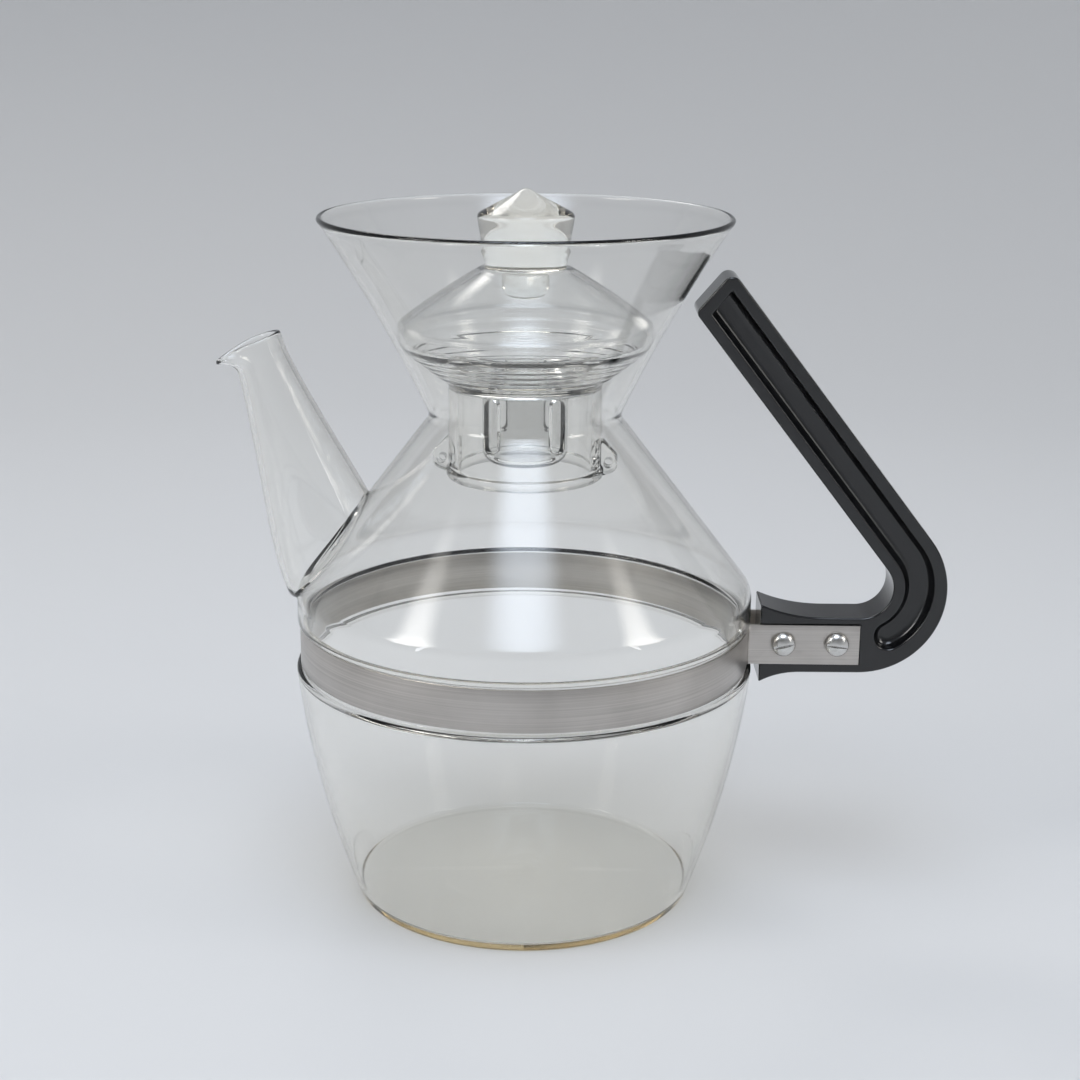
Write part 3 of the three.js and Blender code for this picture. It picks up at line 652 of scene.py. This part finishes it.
def lidOutside():
    top = domeTop()
    foot = next(point for point in top if point[0] >= lid["knobFoot"])
    shoulder = lid["tip"] - lid["nippleHeight"] - lid["knobCrown"]
    nippleFoot = lid["tip"] - lid["nippleHeight"] - lid["nippleFoot"]
    outline = [(0, lid["tip"], 0),
               (lid["nippleRadius"], lid["tip"] - lid["nippleHeight"] / 2, lid["nippleFillet"]),
               (lid["nippleRadius"] * 2, nippleFoot, lid["nippleFootFillet"]),
               (lid["knobRadius"], shoulder, lid["knobFillet"]),
               (lid["knobFoot"], foot[1] + lid["knobSink"], lid["knobFootFillet"])]
    outline += [(x, z, 0) for x, z in top if x > lid["knobFoot"] + lid["knobClear"]][:-1]
    edge = Vector((lid["edgeRadius"], lid["edgeLow"]))
    collar = Vector((lid["plugRadius"] + lid["collarSpread"], lid["seat"] + lid["collarRise"]))
    along = (collar - edge).normalized()
    outward = Vector((-along.y, along.x))
    outline += [(edge.x, edge.y + lid["edgeHeight"], lid["edgeFillet"]), (edge.x, edge.y, lid["edgeFillet"])]
    for share in lid["ringPlaces"]:
        ring = edge.lerp(collar, share)
        for side in (-1, 0, 1):
            rise = 0 if side else lid["ringHeight"]
            place = ring + along * side * lid["ringHalf"] + outward * rise
            outline.append((*place, lid["ringFillet"]))
    outline.append((*collar, lid["collarFillet"]))
    inside = lid["plugRadius"] - lid["plugWall"]
    bottom = lid["plugBottom"]
    bead = lid["plugRadius"] + lid["plugBead"]
    outline += [(lid["plugRadius"], lid["seat"] - lid["plugTop"], lid["plugTopFillet"]),
                (lid["plugRadius"], bottom + lid["beadFade"], lid["beadFadeFillet"]),
                (bead, bottom + lid["beadRise"], lid["beadFillet"]),
                (bead, bottom, lid["bottomFillet"]), (inside, bottom, lid["bottomInside"]),
                (inside, lid["seat"], lid["insideFillet"]),
                (lid["cupRadius"], lid["seat"], lid["insideFillet"]),
                (lid["cupRadius"], lid["cupBottom"], lid["cupFillet"]), (0, lid["cupBottom"], 0)]
    return roundedPath(outline, spacing=lid["rowSpacing"])


def lidHollow():
    # the sealed space in the dome and the cup, round the knob's tail
    wall = lid["domeWall"]
    top = [(x, z, 0) for x, z in domeTop()]
    edge = [(lid["edgeRadius"], lid["edgeLow"] + lid["edgeHeight"], lid["edgeFillet"]),
            (lid["edgeRadius"], lid["edgeLow"], lid["edgeFillet"]),
            (lid["collarRadius"], lid["seat"], lid["collarFillet"]),
            (lid["collarRadius"] / 2, lid["seat"], 0)]
    shell = movedAside(top[:-1] + edge, -wall)
    shell = [point for point in shell[1:-1] if point[0] > lid["stemRadius"] + lid["stemClear"]]
    tail = lid["crown"] - lid["tailLength"]
    cupInside = lid["cupRadius"] - lid["cupWall"]
    floor = lid["cupBottom"] + lid["cupWall"]
    outline = [(0, tail, 0), (lid["stemRadius"], tail, lid["stemRadius"] * lid["stemRound"]),
               (lid["stemRadius"], shell[0][1] + lid["stemRise"], lid["stemFillet"])] + shell
    outline += [(cupInside, lid["seat"] + wall, lid["cupJoin"]),
                (cupInside, floor, lid["cupFillet"] - lid["cupWall"]), (0, floor, 0)]
    return roundedPath(outline, spacing=lid["rowSpacing"])


def slotTool(angle):
    # a round-ended upright bar that passes through the skirt
    half = lid["slotWidth"] / 2
    high = lid["seat"] - lid["slotGap"] - lid["slotTop"] - half
    low = high - lid["slotLength"] + lid["slotWidth"]
    middle = lid["plugRadius"] - lid["plugWall"] / 2
    tool = barAlongY(half, lid["slotReach"] * lid["plugWall"], 0, high, -middle, lid["slotSides"])
    selectWhere(tool, lambda vertex: vertex.co.z < (high - 0.01) * mm)
    bpy.ops.transform.translate(value=(0, 0, (low - high) * mm))
    closeMesh()
    tool.data.transform(Matrix.Rotation(math.radians(angle), 4, "Z"))
    return tool


def lugShape(angle):
    # a pierced ear: drawn flat, thickened, rounded, then turned to its place
    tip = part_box("lid_plug")[1].x / mm / math.cos(math.radians(lid["lugTurn"]))
    root = lid["plugRadius"] - lid["plugWall"] / 2
    top, bottom = lid["plugBottom"] + lid["lugTop"], lid["plugBottom"] + lid["lugBottom"]
    tipLow, tipHigh = (lid["plugBottom"] + height for height in lid["lugTip"])
    outline = roundedPath([(root, top, 0), (root, bottom, 0),
                           (lid["plugRadius"] + lid["lugFoot"], bottom, lid["lugFootFillet"]),
                           (tip, tipLow, lid["lugFillet"]), (tip, tipHigh, lid["lugFillet"]),
                           (lid["plugRadius"] + lid["lugSunk"], top, 0)])
    lug = slab("lug", outline, lid["lugThickness"])
    modify(lug, "BEVEL", width=lid["lugRound"] * mm, segments=6, limit_method="ANGLE",
           angle_limit=math.radians(50))
    holeReach = lid["plugRadius"] + (tip - lid["plugRadius"]) * lid["lugHolePlace"]
    cut(lug, barAlongY(lid["lugHole"], 10, holeReach, lid["plugBottom"] + lid["lugMiddle"]))
    lug.data.transform(Matrix.Rotation(math.radians(angle), 4, "Z"))
    return lug


def lidGlass():
    outside = spun("lidOutside", lidOutside(), lid["facets"])
    for angle in lid["slotAngles"]:
        cut(outside, slotTool(angle))
    for angle in lid["lugAngles"]:
        cut(outside, lugShape(angle), "UNION")
    tidyMesh(outside, 0.01 * mm)
    hollow = spun("lidHollow", lidHollow(), lid["facets"], inside=True)
    deselectAll()
    hollow.select_set(True)
    outside.select_set(True)
    bpy.context.view_layer.objects.active = outside
    bpy.ops.object.join()
    softShade(outside, 35)
    return outside


finishPiece(lidGlass(), "lidGlass", lidGlassFinish, "lid_glass", "lid",
            "lid_dome", "lid_knob", "lid_plug", "lid_cup")


# Band: one strip round the groove, tilted a little in it, its ends bent out as ears

band = {
    "thickness": 0.9, "height": 13.3, "rise": 0.3, "tilt": 0.35, "gap": 0.3,
    "earShort": 0.6, "earOuter": 8.3, "earBend": 1.6,
    "ringStep": 1.6, "bendStep": 12, "edge": 0.14, "holeRadius": 2.3,
}
band["inner"] = pot["groove"] + band["gap"]
band["earEnd"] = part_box("band")[1].x / mm - band["earShort"]
band["middle"] = (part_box("band")[0].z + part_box("band")[1].z) / mm / 2
band["outer"] = band["inner"] + band["thickness"]
screwPlaces = [(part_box(node)[0].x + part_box(node)[1].x) / mm / 2 for node in ("inner_screw", "outer_screw")]
throughLength = 40


def bandPiece():
    bendY = band["earOuter"] + band["earBend"]
    bendX = math.sqrt((band["outer"] + band["earBend"]) ** 2 - bendY ** 2)
    lean = math.atan2(bendY, bendX)
    quarter = math.pi / 2
    small, large = band["earBend"], band["earBend"] + band["thickness"]
    inner = band["earOuter"] - band["thickness"]
    outside = [(band["earEnd"], band["earOuter"])]
    bendStep, ringStep = band["bendStep"], band["ringStep"]
    outside += arcRun(bendX, bendY, small, -quarter, lean - quarter, bendStep)
    outside += arcRun(0, 0, band["outer"], lean, fullTurn - 2 * lean, ringStep)[1:-1]
    outside += arcRun(bendX, -bendY, small, math.pi - lean, lean - quarter, bendStep)
    outside += [(band["earEnd"], -band["earOuter"]), (band["earEnd"], -inner)]
    inside = arcRun(bendX, -bendY, large, quarter, quarter - lean, bendStep)
    inside += arcRun(0, 0, band["inner"], fullTurn - lean, 2 * lean - fullTurn, ringStep)[1:-1]
    inside += arcRun(bendX, bendY, large, lean - math.pi, quarter - lean, bendStep)
    strip = slab("strip", outside + inside + [(band["earEnd"], inner)], band["height"], flat=True)
    strip.data.transform(Matrix.Translation((0, 0, (band["middle"] + band["rise"]) * mm))
                         @ Matrix.Rotation(math.radians(band["tilt"]), 4, "Y"))
    for x in screwPlaces:
        cut(strip, barAlongY(band["holeRadius"], throughLength, x, band["middle"]))
    tidyMesh(strip)
    modify(strip, "BEVEL", width=band["edge"] * mm, segments=2, limit_method="ANGLE",
           angle_limit=math.radians(60))
    softShade(strip, 35)
    return strip


finishPiece(bandPiece(), "bandStrip", bandFinish, "band_steel", "pot", "band")


# Handle: a grip, a bend and a foot, with a long trough sunk in each side

handle = {
    "thickness": 16.4, "width": 17.7, "start": 76.7,
    "gripAngle": math.radians(37.66), "gripLength": 107.2, "endSlant": math.radians(13),
    "bendX": 109.3, "bendRadius": 18.85,
    "innerTipFillet": 2.2, "outerTipFillet": 3.2, "outerStep": 3, "innerStep": 4,
    "outerShift": (-0.25, -0.95), "flare": 4.4, "flareTop": 22, "flareUnder": 13.2, "flareEase": 0.45,
    "flareSteps": 12, "flareTopSteps": 14,
    "troughWidth": 9, "troughDepth": 4, "troughInset": 4.5, "troughSweep": math.radians(98),
    "troughRound": 3.1, "troughShift": -0.4, "troughStep": 12, "toolExtra": 3, "toolRun": 12,
    "edgeRound": 1.9, "rimRound": 0.8,
    "bedDepth": 0.8, "bedSize": 10, "bedGap": 0.3, "bedStart": 2, "holeRadius": 2.3,
}
handle["bendZ"] = band["middle"] + handle["bendRadius"]


def gripPoint(distance, offset):
    turn = handle["gripAngle"]
    reach = handle["bendRadius"] + offset
    return (handle["bendX"] + reach * math.cos(turn) - distance * math.sin(turn),
            handle["bendZ"] + reach * math.sin(turn) + distance * math.cos(turn))


def handleSide():
    half = handle["width"] / 2
    slant = math.tan(handle["endSlant"]) * half
    length = handle["gripLength"]
    start, turn = handle["start"], handle["gripAngle"]
    shiftX, shiftZ = handle["outerShift"]
    outerEnd = gripPoint(length + slant, half)
    outerFoot = gripPoint(0, half)
    tip = roundedPath([(*gripPoint(0, -half), 0),
                       (*gripPoint(length - slant, -half), handle["innerTipFillet"]),
                       (outerEnd[0] + shiftX, outerEnd[1] + shiftZ, handle["outerTipFillet"]),
                       (outerFoot[0] + shiftX, outerFoot[1] + shiftZ, 0)])[1:-1]
    low, high = band["middle"] - half, band["middle"] + half
    under = curveRun((start + handle["flareUnder"], low + shiftZ),
                     (start + handle["flareUnder"] * handle["flareEase"], low + shiftZ),
                     (start, low - handle["flare"]), handle["flareSteps"])
    over = curveRun((start, high + handle["flare"]), (start + handle["flareTop"] * handle["flareEase"], high),
                    (start + handle["flareTop"], high), handle["flareTopSteps"])
    sweep = turn + math.pi / 2
    bendX, bendZ, radius = handle["bendX"], handle["bendZ"], handle["bendRadius"]
    outerBend = arcRun(bendX + shiftX, bendZ + shiftZ, radius + half, turn, -sweep, handle["outerStep"])
    innerBend = arcRun(bendX, bendZ, radius - half, -math.pi / 2, sweep, handle["innerStep"])
    return tip + outerBend + under + over + innerBend


def troughTool(side):
    # runs past the grip's end, gets its round floor, and is then cut off square there
    half = handle["troughWidth"] / 2
    turn, sweep = handle["gripAngle"], handle["troughSweep"]
    stop = turn - sweep
    bendX, bendZ, shift = handle["bendX"], handle["bendZ"], handle["troughShift"]
    middle = handle["bendRadius"] + shift
    end = (bendX + middle * math.cos(stop), bendZ + middle * math.sin(stop))
    far = handle["gripLength"] + handle["toolRun"]
    outline = ([gripPoint(far, shift - half), gripPoint(far, shift + half)]
               + arcRun(bendX, bendZ, middle + half, turn, -sweep, handle["outerStep"])
               + arcRun(*end, half, stop, -math.pi, handle["troughStep"])[1:-1]
               + arcRun(bendX, bendZ, middle - half, stop, sweep, handle["innerStep"]))
    depth = handle["troughDepth"] + handle["toolExtra"]
    tool = slab("troughTool", outline, depth)
    face = handle["thickness"] / 2
    tool.data.transform(Matrix.Translation((0, side * (face - handle["troughDepth"] + depth / 2) * mm, 0)))
    selectWhere(tool, lambda part: part.normal.y * side < -0.9, "FACE")
    bpy.ops.mesh.region_to_loop()
    bpy.ops.mesh.bevel(offset=handle["troughRound"] * mm, segments=8, affect="EDGES", clamp_overlap=True)
    bpy.ops.mesh.select_all(action="SELECT")
    lean = turn + handle["endSlant"]
    along = Vector((-math.sin(lean), 0, math.cos(lean)))
    x, z = gripPoint(handle["gripLength"] - handle["troughInset"], 0)
    bpy.ops.mesh.bisect(plane_co=(x * mm, 0, z * mm), plane_no=along, use_fill=True,
                        clear_outer=True)
    bpy.ops.mesh.select_all(action="SELECT")
    bpy.ops.mesh.normals_make_consistent(inside=False)
    closeMesh()
    return tool


def handlePiece():
    grip = slab("grip", handleSide(), handle["thickness"])
    modify(grip, "BEVEL", width=handle["edgeRound"] * mm, segments=5, limit_method="ANGLE",
           angle_limit=math.radians(60))
    for side in (-1, 1):
        cut(grip, troughTool(side))
    modify(grip, "BEVEL", width=handle["rimRound"] * mm, segments=4, limit_method="ANGLE",
           angle_limit=math.radians(42))
    gap, deep = handle["bedGap"], handle["bedSize"]
    bedFloor = handle["thickness"] / 2 - handle["bedDepth"] - gap
    for side in (-1, 1):
        deselectAll()
        length = band["earEnd"] + gap - handle["start"] + handle["bedStart"]
        place = Vector((handle["start"] - handle["bedStart"] + length / 2, side * (bedFloor + deep / 2),
                        band["middle"]))
        bpy.ops.mesh.primitive_cube_add(size=mm, location=place * mm)
        bed = bpy.context.object
        bed.scale = (length, deep, band["height"] + 2 * gap)
        applyPlace(bed)
        cut(grip, bed)
    for x in screwPlaces:
        cut(grip, barAlongY(handle["holeRadius"], throughLength, x, band["middle"]))
    tidyMesh(grip)
    softShade(grip, 32)
    modify(grip, "WEIGHTED_NORMAL", keep_sharp=True, weight=80)
    return grip


finishPiece(handlePiece(), "handleMoulding", handleFinish, "bakelite", "pot", "handle")


# Screws and nuts

screw = {
    "radius": 2, "headRadius": 3.9, "headHeight": 2.7, "headEdge": 0.45, "headFillet": 0.25,
    "slotWidth": 0.9, "slotDepth": 1.15, "chamfer": 0.5, "edge": 0.12,
    "crownSteps": 14, "facets": 48,
    "slotTurns": {"inner": 14, "outer": -6},
    "nutFlats": 7, "nutThickness": 3.2, "nutGap": 0.3, "nutTurn": 30, "nutEdge": 0.3,
}


def screwPiece(node, slotTurn):
    low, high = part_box(node)
    x, z = (low.x + high.x) / 2, (low.z + high.z) / 2
    length = (high.y - low.y) / mm
    seat = length - screw["headHeight"]
    outline = [(0, 0, 0), (screw["radius"] - screw["chamfer"], 0, 0), (screw["radius"], screw["chamfer"], 0),
               (screw["radius"], seat, 0), (screw["headRadius"], seat, screw["headFillet"]),
               (screw["headRadius"], seat + screw["headEdge"], 0)]
    rise = screw["headHeight"] - screw["headEdge"]
    steps = screw["crownSteps"]
    crown = [(screw["headRadius"] * math.cos(t), seat + screw["headEdge"] + rise * math.sin(t))
             for t in (math.pi / 2 * i / steps for i in range(1, steps))]
    piece = spun("screw", roundedPath(outline) + crown + [(0, length)], screw["facets"])
    deselectAll()
    bpy.ops.mesh.primitive_cube_add(size=mm, location=(0, 0, length * mm))
    slot = bpy.context.object
    slot.scale = (screw["headRadius"] * 3, screw["slotWidth"], screw["slotDepth"] * 2)
    slot.rotation_euler.z = math.radians(slotTurn)
    applyPlace(slot)
    cut(piece, slot)
    tidyMesh(piece)
    modify(piece, "BEVEL", width=screw["edge"] * mm, segments=2, limit_method="ANGLE",
           angle_limit=math.radians(50))
    piece.data.transform(Matrix.Translation((x, high.y, z)) @ Matrix.Rotation(math.pi / 2, 4, "X"))
    softShade(piece, 35)
    return piece


def nutPiece(node):
    low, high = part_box(node)
    x, z = (low.x + high.x) / 2, (low.z + high.z) / 2
    corner = screw["nutFlats"] / math.sqrt(3)
    nut = barAlongY(corner, screw["nutThickness"], x / mm, z / mm, (low.y + high.y) / 2 / mm, 6)
    nut.data.transform(Matrix.Translation((x, 0, z)) @ Matrix.Rotation(math.radians(screw["nutTurn"]), 4, "Y")
                       @ Matrix.Translation((-x, 0, -z)))
    cut(nut, barAlongY(screw["radius"] + screw["nutGap"], throughLength, x / mm, z / mm))
    tidyMesh(nut)
    modify(nut, "BEVEL", width=screw["nutEdge"] * mm, segments=3, limit_method="ANGLE",
           angle_limit=math.radians(50))
    softShade(nut, 35)
    return nut


for place, slotTurn in screw["slotTurns"].items():
    screwNode, nutNode = place + "_screw", place + "_nut"
    finishPiece(screwPiece(screwNode, slotTurn), place + "Screw", screwFinish,
                "screw_steel", "pot", screwNode)
    finishPiece(nutPiece(nutNode), place + "Nut", screwFinish, "screw_steel", "pot", nutNode)


# Studio: pale floor, soft lamps, the photograph's camera

studio = {
    "paper": (0.68, 0.675, 0.67), "paperRoughness": 0.75,
    "floorRadius": 0.8, "curl": 1.5, "height": 1.55, "curlStep": 5, "bowlFacets": 128,
    "sky": [(0.05, (0.05, 0.05, 0.055)), (0.75, (0.38, 0.40, 0.43))],
    "lampFade": 0.6, "lampGain": 2.2,
}


def paperFinish():
    material, nodes, links, shader = newMaterial("studio_paper")
    shader.inputs["Base Color"].default_value = (*studio["paper"], 1)
    shader.inputs["Roughness"].default_value = studio["paperRoughness"]
    return material


def paperBowl():
    # the floor curls up all round into the backdrop, so that every view has the same plain ground
    floor, curl = studio["floorRadius"], studio["curl"]
    run = [(0, 0), (floor, 0)]
    run += arcRun(floor, curl, curl, -math.pi / 2, math.pi / 2, studio["curlStep"])[1:]
    run += [(floor + curl, studio["height"])]
    bowl = spun("paper", [(x / mm, z / mm) for x, z in run], studio["bowlFacets"])
    softShade(bowl, 60)
    bowl.data.materials.append(paperFinish())
    return bowl


paperBowl()


def softbox(name, place, aim, size, power, colour, streak=False):
    # a lamp that is brightest in its middle and fades out towards its edge; a streak lamp isn't
    # seen directly or through the glass
    lamp = bpy.data.lights.new(name, "AREA")
    lamp.shape = "RECTANGLE"
    lamp.size, lamp.size_y = size
    lamp.energy = power
    lamp.color = colour
    lamp.use_nodes = True
    nodes, links = lamp.node_tree.nodes, lamp.node_tree.links
    spot = nodes.new("ShaderNodeNewGeometry")
    centred = nodes.new("ShaderNodeMapping")
    centred.inputs["Location"].default_value = (-1, -1, 0)
    centred.inputs["Scale"].default_value = (2, 2, 0)
    fade = nodes.new("ShaderNodeTexGradient")
    fade.gradient_type = "SPHERICAL"
    links.new(spot.outputs["Parametric"], centred.inputs["Vector"])
    links.new(centred.outputs["Vector"], fade.inputs["Vector"])
    glow = nodes.new("ShaderNodeMapRange")
    glow.interpolation_type = "SMOOTHSTEP"
    glow.inputs["From Max"].default_value = studio["lampFade"]
    glow.inputs["To Max"].default_value = studio["lampGain"]
    links.new(fade.outputs["Fac"], glow.inputs["Value"])
    links.new(glow.outputs["Result"], nodes["Emission"].inputs["Strength"])
    box = bpy.data.objects.new(name, lamp)
    bpy.context.scene.collection.objects.link(box)
    box.location = place
    box.rotation_euler = (Vector(aim) - Vector(place)).to_track_quat("-Z", "Y").to_euler()
    if streak:
        box.visible_camera = False
        box.visible_transmission = False


# name, place and aim in metres, size, watts, colour
for lamp in (
    ("skyWindow", (0.0, -0.45, 1.45), (0, 0, 0.12), (1.1, 1.7), 13, (0.78, 0.87, 1.0)),
    ("leftWindow", (-1.2, -0.6, 1.05), (0, 0, 0.14), (0.8, 0.9), 7, (1.0, 0.985, 0.96)),
    ("rightWindow", (1.25, -0.5, 1.05), (0, 0, 0.14), (0.7, 0.8), 5, (1.0, 0.97, 0.92)),
    ("backWindow", (-0.35, 1.0, 1.15), (0, 0, 0.15), (0.8, 0.6), 3, (1.0, 0.98, 0.95)),
    ("leftStreak", (-0.75, -0.62, 0.42), (0, 0, 0.12), (0.06, 0.62), 0.55, (0.95, 0.97, 1.0), True),
    ("rightStreak", (0.82, -0.55, 0.45), (0, 0, 0.12), (0.05, 0.55), 0.4, (1.0, 0.98, 0.95), True),
):
    softbox(*lamp)


def studioRoom():
    # bright overhead and dark low down, so that the glass edges draw dark lines
    world = bpy.data.worlds.new("studioRoom")
    bpy.context.scene.world = world
    world.use_nodes = True
    nodes, links = world.node_tree.nodes, world.node_tree.links
    place = nodes.new("ShaderNodeTexCoord")
    split = nodes.new("ShaderNodeSeparateXYZ")
    links.new(place.outputs["Generated"], split.inputs["Vector"])
    sky = rampBetween(nodes, links, split.outputs["Z"], studio["sky"])
    links.new(sky.outputs["Color"], nodes["Background"].inputs["Color"])


studioRoom()

view = {
    "place": Vector((4.99, -624.0, 296.3)) * mm,
    "pitch": 15.861, "roll": 0.37, "sensor": 36, "lens": 66.56, "clipStart": 0.01,
}
lens = bpy.data.cameras.new("photoCamera")
lens.sensor_width = view["sensor"]
lens.lens = view["lens"]
lens.clip_start = view["clipStart"]
camera = bpy.data.objects.new("photoCamera", lens)
bpy.context.scene.collection.objects.link(camera)
camera.matrix_world = (Matrix.Translation(view["place"])
                       @ Matrix.Rotation(math.radians(90 - view["pitch"]), 4, "X")
                       @ Matrix.Rotation(math.radians(view["roll"]), 4, "Z"))
bpy.context.scene.camera = camera
bpy.context.scene.view_settings.view_transform = "Standard"
print("studio set")
